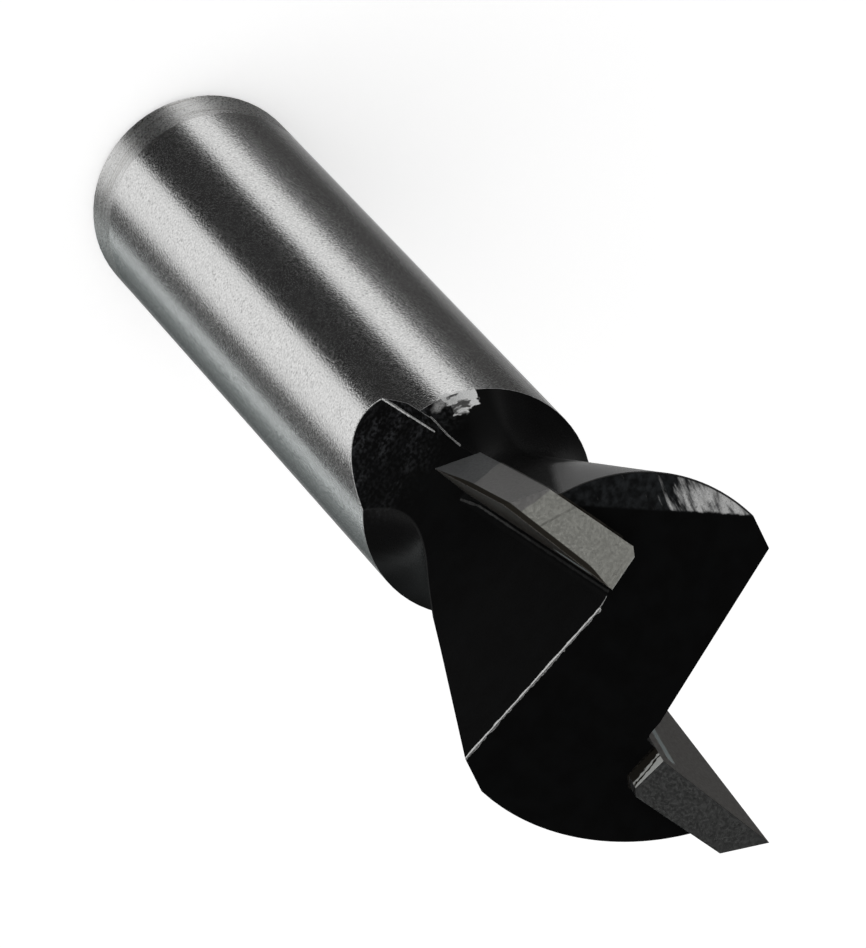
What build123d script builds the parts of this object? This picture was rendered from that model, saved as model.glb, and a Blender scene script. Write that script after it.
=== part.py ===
from build123d import *
from math import acos, cos, degrees, radians, sin, sqrt, tan
import os

# Two-flute dovetail cutter: a steel shank and flared head with two brazed carbide tips.
# The shank stands on its flat end at the origin and +Z runs along the axis to the cutting end.
# Lengths are in millimetres and angles in degrees. One tooth is drawn, its flute's floor facing
# +Y and its tip cutting towards -X; the other is the same tooth half a turn round the axis.

# Turned blank
shank_diameter = 8.0
shank_length = 32.6
shank_chamfer = 0.4
head_length = 15.8
neck_radius = 3.06
neck_arc_radius = 5.6
flare_angle = 16.5

# Flute, whose flat floor runs out into the shank on a disc cutter's arc
floor_offset = 2.1
gullet_fillet_radius = 0.35
runout_arc_radius = 38.0
runout_clearance = 0.3

# Rake plane of the tooth, its offset taken on the axis at the end of the body
rake_offset = 1.58
rake_shear_angle = 6.2
rake_lean_angle = 3.3

# Carbide tip, the braze that holds it and the ledge under them
cutter_diameter = 15.5
cutting_length = 12.5
tip_proud = 0.75
tip_thickness = 1.52
tip_taper_angle = 0.7
tip_back_chamfer = 0.25
side_flank_angle = 35.0
end_flank_angle = 6.0
braze_thickness = 0.1
ledge_rise = 0.38

# Clearance ground on the end of the body behind each tip
end_ridge_drop = 0.08
end_relief_angle = 11.5
end_relief_bearing = -24.5
rim_relief_angle = 9.0
rim_relief_bearing = 26.0
rim_relief_offset = 5.1

# Flat ground on the flare at the heel of each land
heel_flat_depth = 0.34
heel_flat_length = 10.0
heel_flat_bearing = -26.4

# Room that the cutting shapes take past the faces they cut
overrun = 2.0

# Heights and radii worked out from the sizes above
shank_radius = shank_diameter / 2
cutter_radius = cutter_diameter / 2
end_height = shank_length + head_length
tip_top = end_height + tip_proud
tip_bottom = tip_top - cutting_length
flare = tan(radians(flare_angle))
shear = tan(radians(rake_shear_angle))
lean = tan(radians(rake_lean_angle))
back_shear = tan(radians(rake_shear_angle + tip_taper_angle))
reach = cutter_radius + overrun

neck_depth = shank_radius - neck_radius
neck_height = shank_length + sqrt(2 * neck_arc_radius * neck_depth - neck_depth**2)
flare_start_radius = neck_radius + neck_arc_radius * (1 - cos(radians(flare_angle)))
flare_start_height = neck_height + neck_arc_radius * sin(radians(flare_angle))
body_end_radius = flare_start_radius + (end_height - flare_start_height) * flare

ledge_offset = floor_offset + ledge_rise
tip_inner_offset = ledge_offset + braze_thickness
seat_chamfer = tip_back_chamfer + braze_thickness * (2 - sqrt(2))
runout_top = shank_radius + overrun / 2


def runout_sweep(offset):
    """Angle of the run-out arc from its start to where it is this far from the axis."""
    return degrees(acos(1 - (offset - floor_offset) / runout_arc_radius))


def runout_drop(offset):
    """Height that the run-out arc loses by the time it is this far from the axis."""
    return runout_arc_radius * sin(radians(runout_sweep(offset)))


runout_height = tip_bottom - runout_clearance + runout_drop(ledge_offset)
runout_centre = (floor_offset + runout_arc_radius, runout_height)


def rake_point(offset, height):
    """Point of the rake plane at a distance along Y and a height."""
    return Vector(rake_offset + shear * (height - end_height) + lean * offset, offset, height)


def rake_corner(radius, height):
    """Point of the rake plane at a distance from the axis and a height."""
    foot = rake_point(0, height).X
    slant = 1 + lean**2
    return rake_point((sqrt(slant * radius**2 - foot**2) - foot * lean) / slant, height)


def bearing_vector(bearing, length):
    """Level vector of a length at a bearing from +X."""
    return Vector(length * cos(radians(bearing)), length * sin(radians(bearing)), 0)


# Corners of the rake face, whose end and outer side are the cutting edges
tip_end_inner = rake_point(tip_inner_offset, tip_top)
tip_end_corner = rake_corner(cutter_radius, tip_top)
tip_rear_corner = rake_corner(cutter_radius - cutting_length * flare, tip_bottom)
tip_rear_inner = rake_point(tip_inner_offset, tip_bottom)

# Rake plane, and the planes behind it that the tip and its braze rest against
rake_plane = Plane(origin=rake_point(0, end_height), x_dir=(lean, 1, 0), z_dir=(1, -lean, -shear))
tip_back_plane = Plane(
    origin=tip_end_inner + rake_plane.z_dir * tip_thickness,
    x_dir=(0, 1, 0),
    z_dir=(1, 0, -back_shear),
)
seat_plane = tip_back_plane.offset(braze_thickness)

# Flanks of the tip, which fall away behind the cutting edges
side_edge = (tip_end_corner - tip_rear_corner).normalized()
side_fall = rake_plane.z_dir * tan(radians(side_flank_angle))
side_flank_plane = Plane(
    origin=tip_end_corner,
    x_dir=side_edge,
    z_dir=side_edge.cross(rake_plane.z_dir) + side_fall,
)
end_edge = (tip_end_corner - tip_end_inner).normalized()
end_fall = rake_plane.z_dir * tan(radians(end_flank_angle))
end_flank_plane = Plane(
    origin=tip_end_corner,
    x_dir=end_edge,
    z_dir=rake_plane.z_dir.cross(end_edge) + end_fall,
)

# Clearance planes on the end of the body: one falls from the ridge, the other starts on it
ridge_point = Vector(0, 0, end_height - end_ridge_drop)
end_relief_fall = bearing_vector(end_relief_bearing, tan(radians(end_relief_angle)))
end_relief_plane = Plane(origin=ridge_point, z_dir=end_relief_fall + Vector(0, 0, 1))
rim_relief_start = bearing_vector(rim_relief_bearing, rim_relief_offset)
rim_relief_fall = bearing_vector(rim_relief_bearing, tan(radians(rim_relief_angle)))
rim_relief_plane = Plane(
    origin=ridge_point + rim_relief_start - Vector(0, 0, rim_relief_start.dot(end_relief_fall)),
    z_dir=end_relief_fall + rim_relief_fall + Vector(0, 0, 1),
)

# Plane of the heel flat, which meets the flare again at its lower end
heel_slope = flare - heel_flat_depth / heel_flat_length
heel_plane = Plane(
    origin=bearing_vector(heel_flat_bearing, body_end_radius - heel_flat_depth)
    + Vector(0, 0, end_height),
    z_dir=bearing_vector(heel_flat_bearing, 1) - Vector(0, 0, heel_slope),
)

os.makedirs("parts", exist_ok=True)

# Room in front of the rake plane and above the flute's floor
with BuildPart() as gullet_tool:
    with BuildSketch(Plane.YZ.offset(-reach)):
        with BuildLine():
            floor_line = Line((floor_offset, end_height + overrun), (floor_offset, runout_height))
            runout_line = CenterArc(runout_centre, runout_arc_radius, 180, runout_sweep(runout_top))
            Polyline(
                runout_line @ 1,
                (reach, (runout_line @ 1).Y),
                (reach, end_height + overrun),
                floor_line @ 0,
            )
        make_face()
    extrude(amount=2 * reach)
    split(bisect_by=rake_plane, keep=Keep.BOTTOM)
    gullet_wall = faces().sort_by(Axis.X)[-1]
    fillet(gullet_wall.edges().sort_by(Axis.Y)[:2], radius=gullet_fillet_radius)

# Room for the tip and its braze, with the slot that goes on behind them into the shank
with BuildPart() as seat_tool:
    with BuildSketch(Plane.YZ.offset(-reach)):
        with BuildLine():
            ledge_sweep = runout_sweep(ledge_offset)
            slot_line = CenterArc(
                runout_centre,
                runout_arc_radius,
                180 + ledge_sweep,
                runout_sweep(runout_top) - ledge_sweep,
            )
            Polyline(
                slot_line @ 1,
                (reach, (slot_line @ 1).Y),
                (reach, end_height + overrun),
                (ledge_offset, end_height + overrun),
                slot_line @ 0,
            )
        make_face()
    extrude(amount=2 * reach)
    split(bisect_by=seat_plane, keep=Keep.BOTTOM)
    seat_wall = faces().sort_by(Axis.X)[-1]
    chamfer(seat_wall.edges().sort_by(Axis.Y)[:2], length=seat_chamfer)

# Stock ground off the end of the body
with BuildPart() as relief_tool:
    for clearance_plane in (end_relief_plane, rim_relief_plane):
        with BuildSketch(clearance_plane):
            Circle(reach)
        extrude(amount=reach)

# Stock ground off the flare at the heel
with BuildPart() as heel_tool:
    with BuildSketch(Plane.XY.offset(end_height - heel_flat_length)):
        Circle(reach)
    extrude(amount=heel_flat_length + overrun)
    split(bisect_by=heel_plane, keep=Keep.TOP)

# Turned blank with its end and heels ground
with BuildPart() as blank:
    with BuildSketch(Plane.XZ):
        with BuildLine():
            shank_side = Polyline(
                (0, 0),
                (shank_radius - shank_chamfer, 0),
                (shank_radius, shank_chamfer),
                (shank_radius, shank_length),
            )
            neck_side = ThreePointArc(
                shank_side @ 1,
                (neck_radius, neck_height),
                (flare_start_radius, flare_start_height),
            )
            Polyline(neck_side @ 1, (body_end_radius, end_height), (0, end_height), (0, 0))
        make_face()
    revolve(axis=Axis.Z)
    with PolarLocations(0, 2):
        add(relief_tool.part, mode=Mode.SUBTRACT)
        add(heel_tool.part, mode=Mode.SUBTRACT)

with BuildPart() as cutter_body:
    add(blank.part)
    with PolarLocations(0, 2):
        add(gullet_tool.part, mode=Mode.SUBTRACT)
        add(seat_tool.part, mode=Mode.SUBTRACT)

# Carbide tip, drawn on the rake plane and backed off from its two cutting edges
with BuildPart() as carbide_tip:
    with BuildSketch(rake_plane):
        with BuildLine():
            Polyline(
                rake_plane.to_local_coords(tip_end_inner),
                rake_plane.to_local_coords(tip_end_corner),
                rake_plane.to_local_coords(tip_rear_corner),
                rake_plane.to_local_coords(tip_rear_inner),
                close=True,
            )
        make_face()
    extrude(amount=tip_thickness + overrun)
    for flank_plane in (tip_back_plane, side_flank_plane, end_flank_plane):
        split(bisect_by=flank_plane, keep=Keep.BOTTOM)
    tip_back = faces().sort_by(Axis.X)[-1]
    chamfer(tip_back.edges().sort_by(Axis.Y)[0], length=tip_back_chamfer)

# Braze left between the tip and its seat, flush with the body
with BuildPart() as braze_seam:
    add(blank.part)
    add(seat_tool.part, mode=Mode.INTERSECT)
    split(bisect_by=rake_plane, keep=Keep.TOP)
    split(bisect_by=Plane.XY.offset(tip_bottom), keep=Keep.TOP)
    add(carbide_tip.part, mode=Mode.SUBTRACT)

cutter_body.part.label = "cutter_body"
export_step(cutter_body.part, "parts/cutter_body.step")

for side, turn in (("a", 0), ("b", 180)):
    for stem, drawn in (("carbide_tip", carbide_tip), ("braze_seam", braze_seam)):
        with BuildPart() as placed:
            add(drawn.part, rotation=(0, 0, turn))
        placed.part.label = f"{stem}_{side}"
        export_step(placed.part, f"parts/{stem}_{side}.step")
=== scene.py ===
"""Dresses the two-flute dovetail cutter: its finishes, its studio and its camera.

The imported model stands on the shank's flat end at the origin, with +Z along the axis to the
cutting end. Blender's lengths are metres; fields and shader points named mm are millimetres.
Marks that both teeth carry are placed on the first tooth, whose tip is on the +Y side.
"""
import logging
from dataclasses import dataclass
from enum import Enum
from math import cos, radians, sin, tan
from typing import Union

import bmesh
import bpy
from mathutils import Matrix, Vector

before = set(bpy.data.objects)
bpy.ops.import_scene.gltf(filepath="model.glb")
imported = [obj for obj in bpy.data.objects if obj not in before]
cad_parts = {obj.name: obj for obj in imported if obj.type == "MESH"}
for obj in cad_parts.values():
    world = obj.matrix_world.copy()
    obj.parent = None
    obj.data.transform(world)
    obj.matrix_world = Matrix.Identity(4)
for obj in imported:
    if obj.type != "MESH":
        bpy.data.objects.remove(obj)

LOG = logging.getLogger("dovetail_cutter")
MM = 0.001
UP = (0.0, 0.0, 1.0)

Colour = tuple[float, float, float, float]
Triple = tuple[float, float, float]
Range = tuple[float, float]
Segment = tuple[Triple, Triple]
Socket = bpy.types.NodeSocket
Feed = Union[Socket, float, Triple, Colour, Vector]
Inputs = dict[Union[int, str], Feed]
Nodes = dict[str, bpy.types.Object]

WHITE: Colour = (1.0, 1.0, 1.0, 1.0)
COOL_WHITE: Colour = (0.92, 1.0, 1.0, 1.0)
UNIT: Range = (0.0, 1.0)


class Teeth(Enum):
    """The teeth that carry a mark."""

    BOTH = "both"
    FIRST = "first"


def bearing_vector(bearing: float, elevation: float = 0.0) -> Vector:
    """Turns two angles into a direction.

    Args:
        bearing: degrees from +X round the upright axis.
        elevation: degrees above the floor.

    Returns:
        The unit vector.
    """
    level = cos(radians(elevation))
    rise = sin(radians(elevation))
    return Vector((level * cos(radians(bearing)), level * sin(radians(bearing)), rise))


def give_finish(node: bpy.types.Object, material: bpy.types.Material) -> None:
    """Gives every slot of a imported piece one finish.

    Args:
        node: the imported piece.
        material: the finish.
    """
    for slot in node.material_slots:
        slot.material = material
    LOG.info("dressed %s", node.name)


@dataclass(frozen=True)
class FlatFace:
    """A flat face: a point of it in millimetres and the direction that it looks in."""

    place_mm: Triple
    normal: Triple

    @classmethod
    def of(cls, node: bpy.types.Object, toward: Triple, least: float = 0.99) -> "FlatFace":
        """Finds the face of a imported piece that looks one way.

        Args:
            node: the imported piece.
            toward: the rough direction.
            least: cosine of the widest angle between the two directions.

        Returns:
            The face, placed by the highest corner of its largest triangle.
        """
        way = Vector(toward).normalized()
        near = [part for part in node.data.polygons if part.normal.dot(way) > least]
        flat = max(near, key=lambda part: part.area)
        corners = [node.data.vertices[index].co / MM for index in flat.vertices]
        return cls(tuple(max(corners, key=lambda corner: corner.z)), tuple(flat.normal))


@dataclass(frozen=True)
class Pattern:
    """A noise pattern: features a millimetre, finer layers, and stretch by axis."""

    per_mm: Feed
    detail: float
    stretch: Triple = (1.0, 1.0, 1.0)


@dataclass(frozen=True)
class Line:
    """A ragged line on a surface, such as an edge where the paint has rubbed through."""

    start_mm: Triple
    end_mm: Triple
    width_mm: float
    ragged_mm: float
    grain: float
    bare: float = 1.0
    teeth: Teeth = Teeth.BOTH


class ShaderBoard:
    """Adds nodes to one shader tree and joins them up."""

    def __init__(self, tree: bpy.types.NodeTree) -> None:
        """Keeps the tree that the nodes go into: a material's, a world's or a group's."""
        self.tree = tree

    @classmethod
    def of_material(cls, material: bpy.types.Material) -> "ShaderBoard":
        """Starts an empty board on a material.

        Args:
            material: the material, whose default nodes are dropped.

        Returns:
            The board on the material's tree.
        """
        material.use_nodes = True
        material.node_tree.nodes.clear()
        return cls(material.node_tree)

    def put(self, socket: Socket, value: Feed) -> None:
        """Feeds an input.

        Args:
            socket: the input.
            value: the socket that feeds it, or the plain value that it is set to.
        """
        if isinstance(value, Socket):
            self.tree.links.new(value, socket)
        else:
            socket.default_value = value

    def add(self, kind: str, inputs: Inputs | None = None, **settings: object) -> bpy.types.Node:
        """Adds a node.

        Args:
            kind: the node's class name after "ShaderNode".
            inputs: value or socket for each named or numbered input.
            settings: the node's own properties.

        Returns:
            The new node.
        """
        node = self.tree.nodes.new("ShaderNode" + kind)
        for name, value in settings.items():
            setattr(node, name, value)
        for key, value in (inputs or {}).items():
            self.put(node.inputs[key], value)
        return node

    def math(self, operation: str, first: Feed, second: Feed = 0.0, clamp: bool = False) -> Socket:
        """Returns the output of a Math node on two values or sockets."""
        node = self.add("Math", {0: first, 1: second}, operation=operation, use_clamp=clamp)
        return node.outputs[0]

    def plus(self, first: Feed, second: Feed) -> Socket:
        """Returns the sum of two values or sockets."""
        return self.math("ADD", first, second)

    def less(self, whole: Feed, part: Feed) -> Socket:
        """Returns what is left of a value when another is taken off it."""
        return self.math("SUBTRACT", whole, part)

    def times(self, first: Feed, *others: Feed) -> Socket:
        """Returns the product of values or sockets."""
        for other in others:
            first = self.math("MULTIPLY", first, other)
        return first

    def most(self, first: Socket, *others: Socket) -> Socket:
        """Returns the largest of several masks."""
        for other in others:
            first = self.math("MAXIMUM", first, other)
        return first

    def vector(self, operation: str, first: Feed, second: Feed = (0.0, 0.0, 0.0)) -> Socket:
        """Returns the vector output of a Vector Math node on two vectors or sockets."""
        return self.add("VectorMath", {0: first, 1: second}, operation=operation).outputs[0]

    def dot(self, first: Feed, second: Feed) -> Socket:
        """Returns the dot product of two vectors or sockets."""
        node = self.add("VectorMath", {0: first, 1: second}, operation="DOT_PRODUCT")
        return node.outputs["Value"]

    def length(self, value: Socket) -> Socket:
        """Returns the length of a vector socket."""
        return self.add("VectorMath", {0: value}, operation="LENGTH").outputs["Value"]

    def distance(self, point: Socket, place: Triple) -> Socket:
        """Returns a point's distance from a place."""
        return self.length(self.vector("SUBTRACT", point, place))

    def height(self, point: Socket, face: FlatFace) -> Socket:
        """Returns a point's height over the plane of a flat face."""
        return self.dot(self.vector("SUBTRACT", point, face.place_mm), face.normal)

    def parts(self, point: Socket) -> bpy.types.NodeOutputs:
        """Returns a point's X, Y and Z."""
        return self.add("SeparateXYZ", {0: point}).outputs

    def span(
        self, value: Feed, low: float, high: float, start: float = 0.0, end: float = 1.0
    ) -> Socket:
        """Maps a value smoothly from one range to another.

        Args:
            value: the socket that is mapped.
            low: value at which the result is start.
            high: value at which the result is end.
            start: result at low.
            end: result at high.

        Returns:
            The mapped value's socket.
        """
        node = self.add(
            "MapRange",
            {"Value": value, "From Min": low, "From Max": high, "To Min": start, "To Max": end},
            interpolation_type="SMOOTHSTEP",
        )
        return node.outputs["Result"]

    def around(self, value: Socket, middle: float, play: Range) -> Socket:
        """Maps 0 to 1 on to a middle value less and plus the two parts of its play."""
        return self.span(value, *UNIT, middle - play[0], middle + play[1])

    def blend(self, factor: Socket, first: Feed, second: Feed) -> Socket:
        """Returns the colour that goes from first to second as factor goes from 0 to 1."""
        node = self.add("Mix", data_type="RGBA")
        for index, value in ((0, factor), (6, first), (7, second)):
            self.put(node.inputs[index], value)
        return node.outputs[2]

    def between(self, factor: Socket, first: Feed, second: Feed) -> Socket:
        """Returns the value that goes from first to second as factor goes from 0 to 1."""
        node = self.add("Mix", data_type="FLOAT")
        for index, value in ((0, factor), (2, first), (3, second)):
            self.put(node.inputs[index], value)
        return node.outputs[0]

    def noise(self, point: Socket, pattern: Pattern) -> Socket:
        """Adds a noise texture.

        Args:
            point: the point that it is read at.
            pattern: its scale, detail and stretch.

        Returns:
            The noise's socket, from 0 to 1.
        """
        if pattern.stretch != (1.0, 1.0, 1.0):
            point = self.vector("MULTIPLY", point, pattern.stretch)
        inputs = {"Vector": point, "Scale": pattern.per_mm, "Detail": pattern.detail}
        return self.add("TexNoise", inputs).outputs[0]

    def layers(self, colour: Feed, *layers: tuple[Socket, Colour]) -> Socket:
        """Lays colours over a first one in turn, each where its mask is 1."""
        for mask, tone in layers:
            colour = self.blend(mask, colour, tone)
        return colour

    def waver(self, point: Socket, pattern: Pattern, reach: float) -> Socket:
        """Returns a small change of place by noise, at most reach to either side."""
        return self.span(self.noise(point, pattern), 0.3, 0.7, -reach, reach)

    def point_mm(self) -> Socket:
        """Returns the surface point in the part's own frame, in millimetres."""
        place = self.add("TexCoord").outputs["Object"]
        return self.add("Mapping", {"Vector": place, "Scale": (1 / MM,) * 3}).outputs[0]

    def on_first_tooth(self, point: Socket) -> Socket:
        """Turns the second tooth's points half round, so that both teeth read as the first.

        Args:
            point: the surface point.

        Returns:
            The turned point's socket.
        """
        sign = self.math("SIGN", self.parts(point)[1])
        turn = self.add("CombineXYZ", {0: sign, 1: sign, 2: 1.0}).outputs[0]
        return self.vector("MULTIPLY", point, turn)

    def surface(self, inputs: Inputs, relief: Socket, relief_mm: float) -> None:
        """Ends a material with its surface shader.

        Args:
            inputs: value or socket for each of the shader's inputs.
            relief: height of its fine relief, from 0 to about 1.
            relief_mm: depth of that relief.
        """
        bump = self.add("Bump", {"Strength": 1.0, "Distance": relief_mm * MM, "Height": relief})
        shader = self.add("BsdfPrincipled", inputs | {"Normal": bump.outputs[0]})
        self.add("OutputMaterial", {"Surface": shader.outputs[0]})


@dataclass
class ShaderGroups:
    """The effects that more than one mark or finish uses, each built once as a node group."""

    line_detail: float = 4.0
    line_edge: Range = (1.3, 0.8)
    grain_detail: float = 2.0
    grain_edge: Range = (0.25, 0.75)
    pit_scale: float = 0.8
    pit_detail: float = 1.0
    pit_edge: Range = (0.62, 0.72)
    mottle_scale: float = 0.1
    mottle_edge: Range = (0.3, 0.7)

    def __post_init__(self) -> None:
        """Builds the groups."""
        self._line = self._build_line()
        self._grain = self._build_grain()

    @staticmethod
    def _start(
        name: str, inputs: dict[str, str], outputs: tuple[str, ...]
    ) -> tuple[ShaderBoard, bpy.types.NodeOutputs, bpy.types.NodeInputs]:
        """Starts a group.

        Args:
            name: the group's name.
            inputs: input names with their socket types.
            outputs: output names, all of them values.

        Returns:
            The group's board, the sockets that it is given and the sockets that it fills.
        """
        tree = bpy.data.node_groups.new(name, "ShaderNodeTree")
        for label, kind in inputs.items():
            tree.interface.new_socket(label, in_out="INPUT", socket_type=kind)
        for label in outputs:
            tree.interface.new_socket(label, in_out="OUTPUT", socket_type="NodeSocketFloat")
        given = tree.nodes.new("NodeGroupInput").outputs
        return ShaderBoard(tree), given, tree.nodes.new("NodeGroupOutput").inputs

    def _build_line(self) -> bpy.types.NodeTree:
        """Builds the mask of a ragged line.

        Returns:
            The group, whose Mask is 1 on the line from Start to End.
        """
        sockets = {
            "Point": "NodeSocketVector",
            "Start": "NodeSocketVector",
            "End": "NodeSocketVector",
            "Width": "NodeSocketFloat",
            "Ragged": "NodeSocketFloat",
            "Grain": "NodeSocketFloat",
        }
        board, given, result = self._start("worn_line", sockets, ("Mask",))
        run = board.vector("SUBTRACT", given["End"], given["Start"])
        off = board.vector("SUBTRACT", given["Point"], given["Start"])
        along = board.math("DIVIDE", board.dot(off, run), board.dot(run, run), clamp=True)
        foot = board.add("VectorMath", {0: run, "Scale": along}, operation="SCALE").outputs[0]
        distance = board.length(board.vector("SUBTRACT", off, foot))
        waver = board.noise(given["Point"], Pattern(given["Grain"], self.line_detail))
        waver = board.times(board.less(waver, 0.5), given["Ragged"])
        ratio = board.math("DIVIDE", board.plus(distance, waver), given["Width"])
        board.put(result["Mask"], board.span(ratio, *self.line_edge))
        return board.tree

    def _build_grain(self) -> bpy.types.NodeTree:
        """Builds the grain of ground metal and thin paint.

        Returns:
            The group, which gives fine grain, pits and slow mottle, each from 0 to 1.
        """
        sockets = {"Point": "NodeSocketVector", "Scale": "NodeSocketFloat"}
        board, given, result = self._start("grain", sockets, ("Fine", "Pits", "Mottle"))
        pit_scale = board.times(given["Scale"], self.pit_scale)
        mottle_scale = board.times(given["Scale"], self.mottle_scale)
        for label, pattern, edge in (
            ("Fine", Pattern(given["Scale"], self.grain_detail), self.grain_edge),
            ("Pits", Pattern(pit_scale, self.pit_detail), self.pit_edge),
            ("Mottle", Pattern(mottle_scale, self.grain_detail), self.mottle_edge),
        ):
            board.put(result[label], board.span(board.noise(given["Point"], pattern), *edge))
        return board.tree

    def grain(self, board: ShaderBoard, point: Socket, per_mm: float) -> bpy.types.NodeOutputs:
        """Places the grain in a material.

        Args:
            board: the material's board.
            point: the surface point.
            per_mm: grains a millimetre.

        Returns:
            The Fine, Pits and Mottle sockets.
        """
        inputs = {"Point": point, "Scale": per_mm}
        return board.add("Group", inputs, node_tree=self._grain).outputs

    def line(self, board: ShaderBoard, point: Socket, line: Line) -> Socket:
        """Places a ragged line in a material.

        Args:
            board: the material's board.
            point: the surface point.
            line: the line.

        Returns:
            The line's mask, from 0 to 1.
        """
        inputs = {
            "Point": point,
            "Start": line.start_mm,
            "End": line.end_mm,
            "Width": line.width_mm,
            "Ragged": line.ragged_mm,
            "Grain": line.grain,
        }
        return board.add("Group", inputs, node_tree=self._line).outputs["Mask"]


@dataclass(frozen=True)
class GroundSteel:
    """Ground bare steel, rougher on the band next to the shank's end."""

    colour: Colour = (0.98, 0.98, 0.97, 1.0)
    dull_colour: Colour = (0.64, 0.64, 0.635, 1.0)
    pit_colour: Colour = (0.44, 0.44, 0.435, 1.0)
    scratch_colour: Colour = (0.46, 0.45, 0.43, 1.0)
    roughness: float = 0.165
    end_band_roughness: float = 0.29
    roughness_play: Range = (0.03, 0.05)
    end_band_mm: float = 2.45
    end_band_soft_mm: float = 0.1
    rings: Pattern = Pattern(3.0, 4.0, (0.15, 0.15, 4.0))
    scratch_edge: Range = (0.45, 0.75)
    grain_per_mm: float = 12.5
    relief_mm: float = 0.0023


@dataclass(frozen=True)
class BlackPaint:
    """Thin black paint, matt where it is ground and glossier on the turned surfaces."""

    colour: Colour = (0.0031, 0.0031, 0.0031, 1.0)
    thin_colour: Colour = (0.0038, 0.0039, 0.0040, 1.0)
    veil_colour: Colour = (0.0190, 0.0205, 0.0220, 1.0)
    fleck_colour: Colour = (0.030, 0.031, 0.033, 1.0)
    roughness: float = 0.32
    roughness_play: Range = (0.06, 0.06)
    specular: float = 0.004
    relief_share: float = 0.3
    neck_coat: float = 0.20
    arc_coat: float = 0.30
    flare_coat: float = 1.0
    dull_coat_share: float = 0.2
    coat_roughness: float = 0.26


@dataclass(frozen=True)
class TurnedProfile:
    """Outline of the turned neck: an arc from its narrowest place, then the straight flare."""

    neck_radius_mm: float = 3.06
    neck_height_mm: float = 35.7056
    arc_radius_mm: float = 5.6
    flare_degrees: float = 16.5

    def depth(self, board: ShaderBoard, radius: Socket, height: Socket) -> Socket:
        """Measures how far a point lies inside the turned surface.

        Args:
            board: the material's board.
            radius: distance from the axis.
            height: height over the shank's end.

        Returns:
            The depth in millimetres, about 0 on the turned surface itself.
        """
        arc_rise = self.arc_radius_mm * sin(radians(self.flare_degrees))
        rise = board.less(height, self.neck_height_mm)
        bent = board.math("MINIMUM", rise, arc_rise)
        drop = board.math("SQRT", board.less(self.arc_radius_mm**2, board.times(bent, bent)))
        arc = board.less(self.neck_radius_mm + self.arc_radius_mm, drop)
        straight = board.math("MAXIMUM", board.less(rise, arc_rise), 0.0)
        flare = board.times(straight, tan(radians(self.flare_degrees)))
        return board.less(board.plus(arc, flare), radius)


@dataclass(frozen=True)
class BodySpot:
    """The shaded point of the body as sockets, with lengths in millimetres."""

    board: ShaderBoard
    point: Socket
    tooth: Socket
    aside: Socket
    height: Socket
    radius: Socket
    depth: Socket

    @classmethod
    def on(cls, board: ShaderBoard, turned: TurnedProfile) -> "BodySpot":
        """Measures the shaded point.

        Args:
            board: the material's board.
            turned: outline of the turned neck and flare.

        Returns:
            The point, the point on the first tooth, its distance from the plane X = 0, its
            height, its radius and its depth inside the turned surface.
        """
        point = board.point_mm()
        x, y, height = board.parts(point)
        radius = board.length(board.add("CombineXYZ", {0: x, 1: y}).outputs[0])
        depth = turned.depth(board, radius, height)
        aside = board.math("ABSOLUTE", x)
        return cls(board, point, board.on_first_tooth(point), aside, height, radius, depth)


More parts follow.
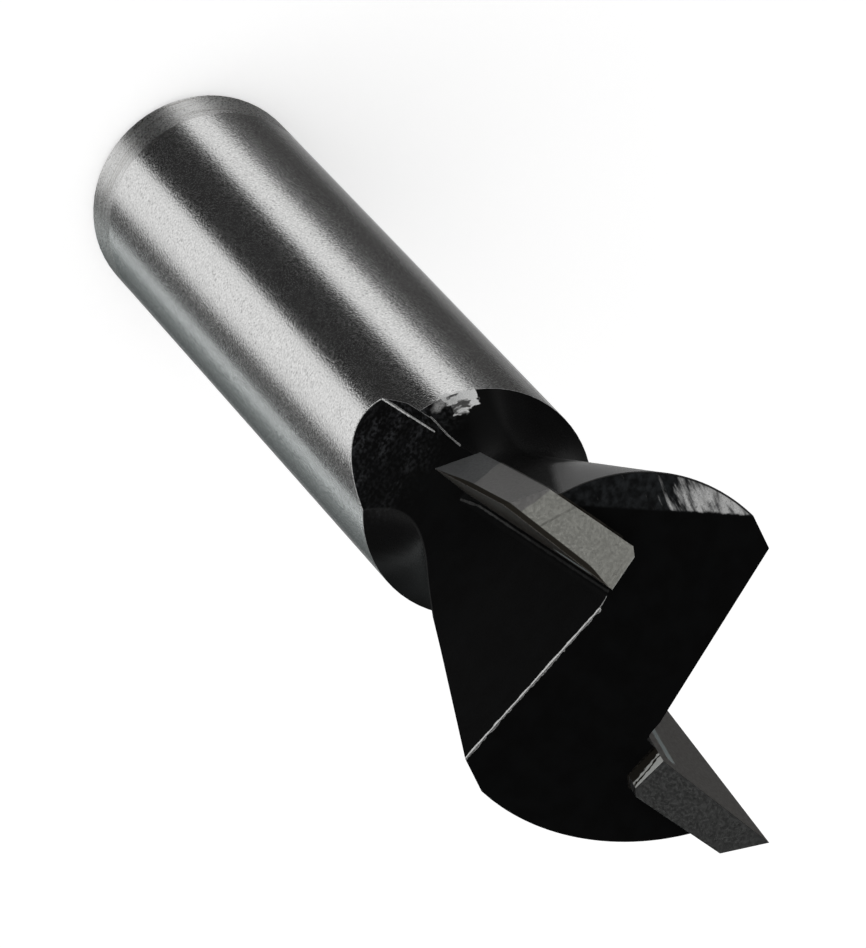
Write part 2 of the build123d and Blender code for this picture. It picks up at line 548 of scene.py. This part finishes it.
@dataclass(frozen=True)
class RimClearance:
    """Wear on the clearance ground behind the +X land's rim: bare streaks and a thin veil."""

    bearing: float = 26.0
    crease_mm: float = 5.1
    crease_edge_mm: Range = (-0.02, 0.06)
    crease_waver: Pattern = Pattern(3.0, 3.0)
    crease_waver_mm: float = 0.03
    face: FlatFace = FlatFace((6.19, 0.0, 47.10), (0.320, -0.010, 0.947))
    face_edge_mm: Range = (-0.08, -0.03)
    rim_line_mm: Range = (0.05, 0.09)
    streak: Pattern = Pattern(4.6, 5.0)
    streak_slant: Range = (0.9, 0.64)
    streak_squeeze: float = 0.3
    streak_edge: Range = (-0.10, 0.22)
    fading_mm: Range = (-1.7, 0.6)
    fading_level: Range = (0.38, 0.74)
    bare: float = 0.55
    veil_crease_edge_mm: Range = (-0.06, 0.06)
    veil_height_mm: Range = (46.0, 46.6)
    veil_rim_mm: Range = (0.04, 0.08)
    veil_mottle: Pattern = Pattern(4.2, 7.0)
    veil_mottle_edge: Range = (0.34, 0.74)
    veil_cover: Range = (0.12, 0.9)

    def _past_crease(self, board: ShaderBoard, across: Socket, edge_mm: Range) -> Socket:
        """Returns a mask of what lies outside the crease, with a soft edge round it."""
        return board.span(across, self.crease_mm + edge_mm[0], self.crease_mm + edge_mm[1])

    def streaks(self, spot: BodySpot) -> Socket:
        """Masks the streaks of bare steel.

        Args:
            spot: the shaded point.

        Returns:
            The mask, which keeps a thin painted line along the rim.
        """
        board = spot.board
        out = bearing_vector(self.bearing)
        across = board.dot(spot.point, out)
        along = board.dot(spot.point, (-out.y, out.x, 0.0))
        waver = board.waver(spot.point, self.crease_waver, self.crease_waver_mm)
        past_crease = self._past_crease(board, board.plus(across, waver), self.crease_edge_mm)
        on_face = board.span(board.height(spot.point, self.face), *self.face_edge_mm)
        inside_rim = board.span(spot.depth, *self.rim_line_mm)
        slant_along, slant_across = self.streak_slant
        slant = board.less(board.times(along, slant_along), board.times(across, slant_across))
        place = board.add("CombineXYZ", {0: slant, 1: board.times(across, self.streak_squeeze)})
        noise = board.noise(place.outputs[0], self.streak)
        level = board.span(along, *self.fading_mm, *self.fading_level)
        streaks = board.span(board.less(noise, level), *self.streak_edge, 0.0, self.bare)
        return board.times(streaks, past_crease, board.times(on_face, inside_rim))

    def veil(self, spot: BodySpot) -> Socket:
        """Masks the thin bluish mottle.

        Args:
            spot: the shaded point.

        Returns:
            The mask.
        """
        board = spot.board
        across = board.dot(spot.point, bearing_vector(self.bearing))
        mottle = board.noise(spot.point, self.veil_mottle)
        return board.times(
            self._past_crease(board, across, self.veil_crease_edge_mm),
            board.span(spot.height, *self.veil_height_mm),
            board.span(spot.depth, *self.veil_rim_mm),
            board.span(mottle, *self.veil_mottle_edge, *self.veil_cover),
        )


@dataclass(frozen=True)
class TornPatch:
    """Ragged bare patch where the paint stops short of the shoulder's rim."""

    right_mm: Triple = (2.46, 2.86, 32.86)
    left_mm: Triple = (1.95, 3.32, 32.70)
    right_edge_mm: Range = (1.17, 1.11)
    left_edge_mm: Range = (0.98, 0.70)
    left_bare: float = 0.4
    tear: Pattern = Pattern(2.0, 2.5)
    tear_mm: float = 1.2
    streak: Pattern = Pattern(2.6, 2.0, (1.0, 1.0, 1.8))
    streak_edge: Range = (0.40, 0.50)
    streak_bare: Range = (0.1, 1.0)
    colour: Colour = (0.66, 0.665, 0.66, 1.0)
    dull: float = 0.62

    def mask(self, spot: BodySpot) -> Socket:
        """Masks the patch.

        Args:
            spot: the shaded point.

        Returns:
            The mask, solid at the right and thin at the left.
        """
        board = spot.board
        tear = board.times(board.noise(spot.tooth, self.tear), self.tear_mm)
        right = board.plus(board.distance(spot.tooth, self.right_mm), tear)
        left = board.plus(board.distance(spot.tooth, self.left_mm), tear)
        streaks = board.noise(spot.tooth, self.streak)
        streaks = board.span(streaks, *self.streak_edge, *self.streak_bare)
        solid = board.times(board.span(right, *self.right_edge_mm), streaks)
        return board.most(solid, board.span(left, *self.left_edge_mm, 0.0, self.left_bare))


@dataclass(frozen=True)
class RunOutClouds:
    """Thin pale clouds in the paint of each run-out."""

    height_mm: Range = (35.4, 31.6)
    side_mm: Range = (2.6, 3.2)
    fleck: Pattern = Pattern(7.0, 4.0)
    fleck_edge: Range = (0.40, 0.74)
    cloud: Pattern = Pattern(1.1, 2.0)
    cloud_edge: Range = (0.36, 0.62)
    cloud_cover: Range = (0.25, 1.0)

    def mask(self, spot: BodySpot) -> Socket:
        """Masks the clouds.

        Args:
            spot: the shaded point.

        Returns:
            The mask.
        """
        board = spot.board
        parts = board.parts(spot.tooth)
        clouds = board.noise(spot.tooth, self.cloud)
        return board.times(
            board.span(parts[2], *self.height_mm),
            board.span(parts[1], *self.side_mm),
            board.span(board.noise(spot.tooth, self.fleck), *self.fleck_edge),
            board.span(clouds, *self.cloud_edge, *self.cloud_cover),
        )


@dataclass(frozen=True)
class CutterBody:
    """The steel body: bare shank, and black neck and head worn through along some edges, with a
    painted highlight of faint bare steel along each gullet's fillet.
    """

    name: str = "cutter_body"
    shank_radius_mm: float = 4.0
    shoulder_mm: float = 32.6
    shoulder_edge_mm: Range = (-0.02, 0.02)
    sunk_mm: Range = (-0.008, -0.02)
    turned_mm: Range = (0.06, 0.02)
    neck_gloss_mm: Range = (34.8, 36.3)
    flare_gloss_mm: Range = (40.8, 41.8)
    flare_gloss_aside_mm: Range = (3.15, 3.45)
    dull_bearing: float = 46.0
    dull_cosine: Range = (0.955, 0.985)
    turned: TurnedProfile = TurnedProfile()
    steel: GroundSteel = GroundSteel()
    paint: BlackPaint = BlackPaint()
    clearance: RimClearance = RimClearance()
    patch: TornPatch = TornPatch()
    clouds: RunOutClouds = RunOutClouds()
    end_crest: tuple[Line, ...] = (
        Line((-5.55, 2.10, 47.09), (0.96, 2.10, 48.29), 0.055, 0.16, 4.0, 0.85, Teeth.FIRST),
        Line((0.96, 2.10, 48.29), (1.42, 2.13, 48.20), 0.03, 0.04, 9.0, 0.4, Teeth.FIRST),
    )
    # Painted highlight: faint bare-steel lines along each gullet's fillet stand in for the glint on
    # the paint there.
    gullet_fillet_highlight: tuple[Line, ...] = (
        Line((0.15, 2.48, 36.45), (0.44, 2.405, 37.70), 0.045, 0.08, 3.0, 0.04),
        Line((0.44, 2.405, 37.70), (0.587, 2.30, 39.00), 0.045, 0.08, 3.0, 0.055),
        Line((0.587, 2.30, 39.00), (0.735, 2.225, 40.40), 0.045, 0.08, 3.0, 0.045),
        Line((0.735, 2.225, 40.40), (0.875, 2.203, 41.70), 0.045, 0.08, 3.0, 0.03),
        Line((0.875, 2.203, 41.70), (1.597, 2.203, 48.20), 0.05, 0.08, 3.0, 0.018),
    )
    run_out_foot: tuple[Line, ...] = (
        Line((0.825, 3.914, 30.11), (1.011, 3.457, 31.646), 0.045, 0.03, 8.0, 0.9),
        Line((1.011, 3.457, 31.646), (1.19, 3.08, 33.10), 0.035, 0.03, 8.0, 0.6),
    )
    run_out_top: tuple[Line, ...] = (
        Line((1.322, 3.775, 31.652), (1.492, 3.416, 33.054), 0.03, 0.05, 8.0, 0.2),
        Line((1.492, 3.416, 33.054), (1.418, 3.068, 33.842), 0.035, 0.03, 8.0, 0.9),
        Line((1.418, 3.068, 33.842), (1.431, 2.814, 34.668), 0.035, 0.03, 8.0, 0.8),
    )

    def dress(self, nodes: Nodes, groups: ShaderGroups) -> None:
        """Gives the body its finish.

        Args:
            nodes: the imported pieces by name.
            groups: the shared node groups.
        """
        material = bpy.data.materials.new("steel_and_black_paint")
        self._shade(BodySpot.on(ShaderBoard.of_material(material), self.turned), groups)
        give_finish(nodes[self.name], material)

    def _shade(self, spot: BodySpot, groups: ShaderGroups) -> None:
        """Builds the body's shader.

        Args:
            spot: the shaded point.
            groups: the shared node groups.
        """
        steel, paint, board = self.steel, self.paint, spot.board
        grain = groups.grain(board, spot.point, steel.grain_per_mm)
        patch = self.patch.mask(spot)
        edges = self._worn_and_highlit_edges(spot, groups)
        bare = board.most(*edges, self.clearance.streaks(spot), patch)
        painted = board.times(self._cover(spot), board.less(1.0, bare))
        dull = board.most(painted, board.times(patch, self.patch.dull))
        turned = board.times(painted, board.span(spot.depth, *self.turned_mm))
        soft = steel.end_band_soft_mm
        end_band = board.span(spot.height, steel.end_band_mm + soft, steel.end_band_mm - soft)
        rings = board.noise(spot.point, steel.rings)
        scratched = board.times(end_band, board.span(rings, *steel.scratch_edge))
        steel_colour = board.layers(
            steel.dull_colour,
            (grain["Fine"], steel.colour),
            (grain["Pits"], steel.pit_colour),
            (scratched, steel.scratch_colour),
            (patch, self.patch.colour),
        )
        paint_colour = board.layers(
            paint.colour,
            (grain["Mottle"], paint.thin_colour),
            (self.clouds.mask(spot), paint.fleck_colour),
            (self.clearance.veil(spot), paint.veil_colour),
        )
        rough = board.between(end_band, steel.roughness, steel.end_band_roughness)
        rough = board.plus(rough, board.around(grain["Fine"], 0.0, steel.roughness_play))
        paint_rough = board.around(grain["Fine"], paint.roughness, paint.roughness_play)
        fine = board.times(grain["Fine"], board.span(dull, *UNIT, 1.0, paint.relief_share))
        board.surface(
            {
                "Base Color": board.blend(painted, steel_colour, paint_colour),
                "Metallic": board.less(1.0, dull),
                "Roughness": board.between(dull, rough, paint_rough),
                "Coat Weight": board.times(turned, self._gloss(spot)),
                "Coat Roughness": paint.coat_roughness,
                "Specular IOR Level": paint.specular,
            },
            board.plus(fine, board.times(rings, end_band)),
            steel.relief_mm,
        )

    def _cover(self, spot: BodySpot) -> Socket:
        """Masks the whole painted part.

        Args:
            spot: the shaded point.

        Returns:
            The mask, 1 on the neck, on the head and in the run-outs below the shoulder.
        """
        board = spot.board
        head = board.span(spot.height, *(self.shoulder_mm + part for part in self.shoulder_edge_mm))
        sunk = board.span(spot.radius, *(self.shank_radius_mm + part for part in self.sunk_mm))
        upper = board.math("GREATER_THAN", spot.height, self.shoulder_mm / 2)
        return board.most(head, board.times(sunk, upper))

    def _worn_and_highlit_edges(self, spot: BodySpot, groups: ShaderGroups) -> list[Socket]:
        """Masks the edges where the paint has rubbed through, and the painted highlight along each
        gullet's fillet.

        Args:
            spot: the shaded point.
            groups: the shared node groups.

        Returns:
            One mask for each line, as strong as the line is bare.
        """
        masks = []
        for line in self.end_crest + self.gullet_fillet_highlight + self.run_out_foot + self.run_out_top:
            point = spot.tooth if line.teeth is Teeth.BOTH else spot.point
            masks.append(spot.board.times(groups.line(spot.board, point, line), line.bare))
        return masks

    def _gloss(self, spot: BodySpot) -> Socket:
        """Finds how glossy the paint of the turned surfaces is.

        Args:
            spot: the shaded point.

        Returns:
            The gloss, lowest at the dull bearing of the neck and highest on the flare.
        """
        board, paint = spot.board, self.paint
        facing = board.dot(spot.point, bearing_vector(self.dull_bearing))
        cosine = board.math("DIVIDE", facing, spot.radius)
        neck = board.span(spot.height, *self.neck_gloss_mm, paint.neck_coat, paint.arc_coat)
        neck = board.times(neck, board.span(cosine, *self.dull_cosine, 1.0, paint.dull_coat_share))
        flare = board.times(
            board.span(spot.height, *self.flare_gloss_mm),
            board.span(spot.aside, *self.flare_gloss_aside_mm),
        )
        return board.between(flare, neck, paint.flare_coat)


@dataclass(frozen=True)
class GroundCarbide:
    """Ground carbide, with the tone of each ground zone. The darker tones of the zones, the rake
    faces and the second tip are painted shade, and the pale inner face is a painted highlight.
    """

    colour: Colour = (0.42, 0.42, 0.385, 1.0)
    # Painted shade: the second tip is the same carbide, given a darker tone because it catches less
    # light.
    second_tip_shaded_colour: Colour = (0.35, 0.355, 0.35, 1.0)
    # Painted shade: darker tones for the rear and side zones of the tips' ground faces.
    rear_shade_colour: Colour = (0.10, 0.105, 0.11, 1.0)
    side_shade_colour: Colour = (0.27, 0.265, 0.26, 1.0)
    # Painted shade: the rake faces, seen nearly edge-on, are toned darker.
    rake_shade_colour: Colour = (0.19, 0.175, 0.16, 1.0)
    strip_colour: Colour = (0.21, 0.235, 0.235, 1.0)
    # Painted highlight: the small inner face above the body is pale and not metallic, so that it
    # reads bright.
    inner_highlight_colour: Colour = (0.48, 0.49, 0.47, 1.0)
    dark_colour: Colour = (0.018, 0.016, 0.013, 1.0)
    roughness: float = 0.36
    roughness_play: Range = (0.05, 0.07)
    grain_per_mm: float = 10.0
    lay: Pattern = Pattern(2.5, 4.0, (0.35, 3.0, 1.0))
    lay_edge: Range = (0.35, 0.75)
    lay_tone: float = 0.16
    lay_relief: float = 0.5
    lay_tone_and_crease_shade: float = 0.3
    relief_mm: float = 0.0005


@dataclass(frozen=True)
class TipFaces:
    """Flat faces of the first tip. Its inner face is placed by the cutting edge's inner end."""

    rake: FlatFace
    flank: FlatFace
    end: FlatFace
    inner: FlatFace


@dataclass(frozen=True)
class CarbideTips:
    """The two ground carbide tips. The first has marks that the second lacks."""

    names: tuple[str, str] = ("carbide_tip_a", "carbide_tip_b")
    rake_looks: Triple = (-0.99, 0.06, 0.11)
    flank_looks: Triple = (0.59, 0.76, -0.28)
    end_looks: Triple = (0.21, 0.0, 0.98)
    inner_looks: Triple = (-0.06, -1.0, 0.0)
    face_edge_mm: Range = (0.012, 0.006)
    rear_line_mm: Segment = ((1.48, 5.53, 42.69), (2.03, 4.42, 40.86))
    side_line_mm: Segment = ((2.26, 6.77, 49.11), (3.33, 6.30, 48.87))
    zone_edge_mm: Range = (-0.03, 0.03)
    zone_wobble_mm: float = 0.05
    strip: Line = Line((1.50, 3.26, 45.87), (1.77, 3.24, 48.30), 0.17, 0.10, 2.0)
    # Painted shade: a dark line along the crease between two ground facets of the first tip's end.
    crease_shade_line: Line = Line((2.23, 5.94, 49.10), (3.37, 5.21, 48.85), 0.035, 0.05, 3.0)
    band_mm: float = 0.19
    band_edge_mm: Range = (0.02, -0.02)
    band_least_mm: float = 0.005
    band_inner_mm: Range = (-0.05, 1.3)
    band_rear_mm: Range = (-13.5, -6.0)
    # Painted shade on the inner face: a dark line across it and a darker foot by the body.
    inner_shade_line_mm: float = 0.42
    inner_shade_line_edge_mm: Range = (0.07, 0.03)
    inner_shade_foot_mm: Range = (0.54, 0.60)
    inner_shade_waver: Pattern = Pattern(5.0, 3.0)
    inner_shade_waver_mm: float = 0.05
    carbide: GroundCarbide = GroundCarbide()

    def dress(self, nodes: Nodes, groups: ShaderGroups) -> None:
        """Gives both tips their finish.

        Args:
            nodes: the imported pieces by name.
            groups: the shared node groups.
        """
        looks = (self.rake_looks, self.flank_looks, self.end_looks, self.inner_looks)
        faces = TipFaces(*(FlatFace.of(nodes[self.names[0]], toward) for toward in looks))
        material = bpy.data.materials.new("ground_carbide")
        self._shade(ShaderBoard.of_material(material), groups, faces)
        for name in self.names:
            give_finish(nodes[name], material)

    def _shade(self, board: ShaderBoard, groups: ShaderGroups, faces: TipFaces) -> None:
        """Builds the tips' shader.

        Args:
            board: the material's board.
            groups: the shared node groups.
            faces: the first tip's flat faces.
        """
        carbide = self.carbide
        point = board.point_mm()
        tip = board.on_first_tooth(point)
        grain = groups.grain(board, point, carbide.grain_per_mm)
        wobble = board.times(board.less(grain["Mottle"], 0.5), self.zone_wobble_mm)
        first = board.math("GREATER_THAN", board.parts(point)[1], 0.0)
        # Painted shade: the rear and side zones are darker tones of the same carbide, for facets
        # that would be shaded.
        rear = self._behind(board, tip, self.rear_line_mm, faces.flank, wobble)
        side = self._behind(board, tip, self.side_line_mm, faces.end, wobble)
        side = board.most(board.times(side, first), self._on_face(board, tip, faces.flank))
        rake = self._on_face(board, tip, faces.rake)
        inner = self._on_face(board, tip, faces.inner)
        # Painted shade: a near-black band along the first tip's cutting edges.
        dark = board.times(self._edge_shade_band(board, point, faces), board.less(1.0, rake))
        strip = board.times(groups.line(board, tip, self.strip), rake)
        # Painted shade: the dark line and foot of the inner face.
        inner_shade = board.times(self._inner_face_shade(board, tip, faces), inner)
        lay = board.noise(tip, carbide.lay)
        # The grinding lay darkens the carbide in streaks; the crease line is painted shade.
        lay_tone_and_crease_shade = board.most(
            board.span(lay, *carbide.lay_edge, 0.0, carbide.lay_tone),
            groups.line(board, point, self.crease_shade_line),
        )
        colour = board.layers(
            carbide.second_tip_shaded_colour,
            (first, carbide.colour),
            (side, carbide.side_shade_colour),
            (rear, carbide.rear_shade_colour),
            (rake, carbide.rake_shade_colour),
            (strip, carbide.strip_colour),
            (inner, carbide.inner_highlight_colour),
            (board.times(lay_tone_and_crease_shade, carbide.lay_tone_and_crease_shade), carbide.dark_colour),
            (inner_shade, carbide.dark_colour),
            (dark, carbide.dark_colour),
        )
        board.surface(
            {
                "Base Color": colour,
                "Metallic": board.less(1.0, board.most(dark, inner, strip)),
                "Roughness": board.around(grain["Fine"], carbide.roughness, carbide.roughness_play),
                "Specular IOR Level": 0.0,
            },
            board.plus(grain["Fine"], board.times(lay, carbide.lay_relief)),
            carbide.relief_mm,
        )

    def _on_face(self, board: ShaderBoard, tip: Socket, face: FlatFace) -> Socket:
        """Returns a mask of one flat face of the tip, for points on the first tooth."""
        return board.span(board.math("ABSOLUTE", board.height(tip, face)), *self.face_edge_mm)

    def _behind(
        self, board: ShaderBoard, tip: Socket, line: Segment, face: FlatFace, wobble: Socket
    ) -> Socket:
        """Masks the tip behind a line across one of its faces.

        Args:
            board: the material's board.
            tip: the point on the first tooth.
            line: two points of the line.
            face: the face.
            wobble: small change of the line's place.

        Returns:
            The mask.
        """
        start, end = (Vector(place) for place in line)
        away = (end - start).cross(Vector(face.normal)).normalized()
        if away.z > 0:
            away = -away
        reach = board.height(tip, FlatFace(tuple(start), tuple(away)))
        return board.span(board.plus(reach, wobble), *self.zone_edge_mm)

    def _edge_shade_band(self, board: ShaderBoard, point: Socket, faces: TipFaces) -> Socket:
        """Masks a band of painted shade behind the first tip's cutting edges.

        Args:
            board: the material's board.
            point: the surface point.
            faces: the tip's flat faces.

        Returns:
            The mask, which narrows to nothing at the inner and the rear corner.
        """
        off = board.vector("SUBTRACT", point, faces.inner.place_mm)
        parts = board.parts(off)
        inner = board.span(parts[1], *self.band_inner_mm)
        rear = board.span(parts[2], *self.band_rear_mm)
        width = board.times(inner, rear, self.band_mm)
        behind = board.dot(off, tuple(-part for part in faces.rake.normal))
        band = board.span(board.less(behind, width), *self.band_edge_mm)
        return board.times(band, board.math("GREATER_THAN", width, self.band_least_mm))

    def _inner_face_shade(self, board: ShaderBoard, tip: Socket, faces: TipFaces) -> Socket:
        """Masks the painted shade on the tip's small inner face above the body: a dark line across
        it and a darker foot where it meets the body.

        Args:
            board: the material's board.
            tip: the point on the first tooth.
            faces: the tip's flat faces.

        Returns:
            The mask, on all faces at that height.
        """
        drop = board.less(faces.inner.place_mm[2], board.parts(tip)[2])
        drop = board.plus(drop, board.waver(tip, self.inner_shade_waver, self.inner_shade_waver_mm))
        off = board.math("ABSOLUTE", board.less(drop, self.inner_shade_line_mm))
        line = board.span(off, *self.inner_shade_line_edge_mm)
        return board.most(line, board.span(drop, *self.inner_shade_foot_mm))


@dataclass(frozen=True)
class Braze:
    """Dull dark braze."""

    colour: Colour = (0.045, 0.040, 0.034, 1.0)
    dark_colour: Colour = (0.010, 0.0095, 0.009, 1.0)
    roughness: float = 0.45
    roughness_play: Range = (0.06, 0.08)
    grain_per_mm: float = 9.0
    relief_mm: float = 0.008


@dataclass(frozen=True)
class BrazeSeams:
    """The thin braze between each tip and its seat."""

    names: tuple[str, str] = ("braze_seam_a", "braze_seam_b")
    braze: Braze = Braze()

    def dress(self, nodes: Nodes, groups: ShaderGroups) -> None:
        """Gives both seams their finish.

        Args:
            nodes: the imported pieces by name.
            groups: the shared node groups.
        """
        braze = self.braze
        material = bpy.data.materials.new("braze")
        board = ShaderBoard.of_material(material)
        grain = groups.grain(board, board.point_mm(), braze.grain_per_mm)
        board.surface(
            {
                "Base Color": board.blend(grain["Mottle"], braze.dark_colour, braze.colour),
                "Metallic": 1.0,
                "Roughness": board.around(grain["Fine"], braze.roughness, braze.roughness_play),
            },
            grain["Fine"],
            braze.relief_mm,
        )
        for name in self.names:
            give_finish(nodes[name], material)


@dataclass(frozen=True)
class Card:
    """A far card that only reflections see, cut from a sphere round the cutter."""

    name: str
    bearings: Range
    elevations: Range
    glow: float
    tint: Colour = WHITE
    distance: float = 2.0
    rows: int = 12
    step: float = 4.0
    weld: float = 1e-5

    def build(self) -> None:
        """Spins an arc round the upright axis, and hides the card from all but reflections."""
        mesh = bpy.data.meshes.new(self.name)
        shape = bmesh.new()
        low, high = self.elevations
        start, end = self.bearings
        rise = (high - low) / self.rows
        arc = [
            shape.verts.new(self.distance * bearing_vector(start, low + rise * row))
            for row in range(self.rows + 1)
        ]
        edges = [shape.edges.new(pair) for pair in zip(arc, arc[1:])]
        bmesh.ops.spin(
            shape,
            geom=arc + edges,
            cent=(0, 0, 0),
            axis=UP,
            angle=radians(end - start),
            steps=max(2, round(abs(end - start) / self.step)),
        )
        bmesh.ops.remove_doubles(shape, verts=shape.verts, dist=self.weld)
        shape.to_mesh(mesh)
        shape.free()
        card = bpy.data.objects.new(self.name, mesh)
        bpy.context.scene.collection.objects.link(card)
        material = bpy.data.materials.new(self.name)
        board = ShaderBoard.of_material(material)
        glow = board.add("Emission", {"Color": self.tint, "Strength": self.glow})
        board.add("OutputMaterial", {"Surface": glow.outputs[0]})
        mesh.materials.append(material)
        for ray in ("camera", "diffuse", "transmission", "volume_scatter", "shadow"):
            setattr(card, f"visible_{ray}", False)


@dataclass(frozen=True)
class LowCard:
    """A card round the shank, placed in degrees clockwise from the studio's front."""

    name: str
    turns: Range
    glow: float
    tint: Colour = WHITE


@dataclass(frozen=True)
class Lamp:
    """A square soft lamp that faces the cutter."""

    name: str
    bearing: float
    elevation: float
    distance: float
    side: float
    watts: float
    aim_mm: float = 30.0

    def build(self) -> None:
        """Hangs the lamp."""
        light = bpy.data.lights.new(self.name, "AREA")
        light.shape = "SQUARE"
        light.size = self.side
        light.energy = self.watts
        lamp = bpy.data.objects.new(self.name, light)
        away = bearing_vector(self.bearing, self.elevation)
        lamp.location = away * self.distance + Vector((0, 0, self.aim_mm * MM))
        lamp.rotation_euler = (-away).to_track_quat("-Z", "Y").to_euler()
        lamp.visible_camera = False
        bpy.context.scene.collection.objects.link(lamp)


@dataclass(frozen=True)
class Studio:
    """Pale floor, white surroundings, a soft lamp and the cards that the bright steel shows."""

    floor_radius: float = 3.0
    floor_sides: int = 96
    floor_colour: Colour = (0.82, 0.82, 0.82, 1.0)
    floor_glow: float = 0.42
    sky_light: float = 0.75
    front_bearing: float = 78.3
    low_elevations: Range = (-90.0, 12.0)
    low_cards: tuple[LowCard, ...] = (
        LowCard("card_back", (-200, -163), 0.50),
        LowCard("card_back_left", (-163, -136), 0.105, COOL_WHITE),
        LowCard("card_left_rim", (-136, -111), 0.19, COOL_WHITE),
        LowCard("card_left_glint", (-111, -101), 0.85, (0.95, 1.0, 1.0, 1.0)),
        LowCard("card_left", (-101, -68), 0.095),
        LowCard("card_left_edge", (-68, -60), 0.70),
        LowCard("card_front", (-17, 42), 0.029),
        LowCard("card_right", (72, 92), 0.11),
        LowCard("card_right_dark", (92, 136), 0.056, (1.0, 0.99, 0.98, 1.0)),
        LowCard("card_back_right", (136, 160), 0.22),
    )
    high_cards: tuple[Card, ...] = (
        Card("card_overhead", (0, 360), (34, 90), 0.025, distance=2.3),
        Card("card_far_dark", (180, 266), (6, 38), 0.02, distance=1.9),
        Card("card_bright", (292, 322), (42, 62), 1.0),
    )
    lamp: Lamp = Lamp("lamp_key", 125.0, 62.0, 1.0, 0.8, 2.8)

    def build(self) -> None:
        """Makes the floor, the surroundings, the cards and the lamp."""
        self._floor()
        self._surroundings()
        low = []
        for card in self.low_cards:
            bearings = tuple(self.front_bearing - turn for turn in reversed(card.turns))
            low.append(Card(card.name, bearings, self.low_elevations, card.glow, card.tint))
        for piece in (*low, *self.high_cards, self.lamp):
            piece.build()
            LOG.info("built %s", piece.name)

    @staticmethod
    def _seen(board: ShaderBoard) -> Socket:
        """Returns 1 for the rays that see the white: the camera's, a gloss's or a glass's."""
        rays = board.add("LightPath").outputs
        kinds = ("Is Camera Ray", "Is Glossy Ray", "Is Transmission Ray")
        return board.most(*(rays[kind] for kind in kinds))

    def _floor(self) -> None:
        """Lays the pale floor, which keeps the shadow and looks white round it."""
        mesh = bpy.data.meshes.new("floor")
        disc = bmesh.new()
        bmesh.ops.create_circle(
            disc, cap_ends=True, segments=self.floor_sides, radius=self.floor_radius
        )
        disc.to_mesh(mesh)
        disc.free()
        floor = bpy.data.objects.new("floor", mesh)
        bpy.context.scene.collection.objects.link(floor)
        material = bpy.data.materials.new("floor_white")
        board = ShaderBoard.of_material(material)
        matte = board.add("BsdfDiffuse", {"Color": self.floor_colour})
        glow = board.add("Emission", {"Strength": board.times(self._seen(board), self.floor_glow)})
        both = board.add("AddShader", {0: matte.outputs[0], 1: glow.outputs[0]})
        board.add("OutputMaterial", {"Surface": both.outputs[0]})
        mesh.materials.append(material)
        floor.visible_glossy = False
        LOG.info("laid the floor")

    def _surroundings(self) -> None:
        """Sets white surroundings for what is seen, and a softer white for the light."""
        world = bpy.data.worlds.new("studio_white")
        bpy.context.scene.world = world
        world.use_nodes = True
        world.node_tree.nodes.clear()
        board = ShaderBoard(world.node_tree)
        strength = board.span(self._seen(board), *UNIT, self.sky_light, 1.0)
        sky = board.add("Background", {"Strength": strength})
        board.add("OutputWorld", {"Surface": sky.outputs[0]})


@dataclass(frozen=True)
class Viewpoint:
    """The photograph's camera: a long lens that looks down past the cutting end."""

    target_mm: Triple = (-0.451, 0.095, 28.843)
    bearing: float = 78.141
    elevation: float = 63.269
    roll: float = 137.444
    distance: float = 0.36823
    lens: float = 417.72
    nearest: float = 0.01

    def build(self) -> None:
        """Makes the camera and gives it to the scene."""
        back = bearing_vector(self.bearing, self.elevation)
        level = Vector(UP).cross(back).normalized()
        rise = back.cross(level)
        turn = radians(self.roll)
        right = level * cos(turn) + rise * sin(turn)
        up = back.cross(right)
        lens = bpy.data.cameras.new("camera")
        lens.lens = self.lens
        lens.clip_start = self.nearest
        camera = bpy.data.objects.new("camera", lens)
        place = Vector(self.target_mm) * MM + back * self.distance
        turned = Matrix((right, up, back)).transposed().to_4x4()
        camera.matrix_world = Matrix.Translation(place) @ turned
        bpy.context.scene.collection.objects.link(camera)
        bpy.context.scene.camera = camera
        LOG.info("set the camera")


def main() -> None:
    """Dresses the cutter, builds its studio and sets the camera."""
    logging.basicConfig(level=logging.INFO, format="%(message)s")
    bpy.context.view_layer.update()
    bpy.context.scene.view_settings.view_transform = "Standard"
    Viewpoint().build()
    groups = ShaderGroups()
    for piece in (CutterBody(), CarbideTips(), BrazeSeams()):
        piece.dress(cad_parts, groups)
    Studio().build()


if __name__ == "__main__":
    main()
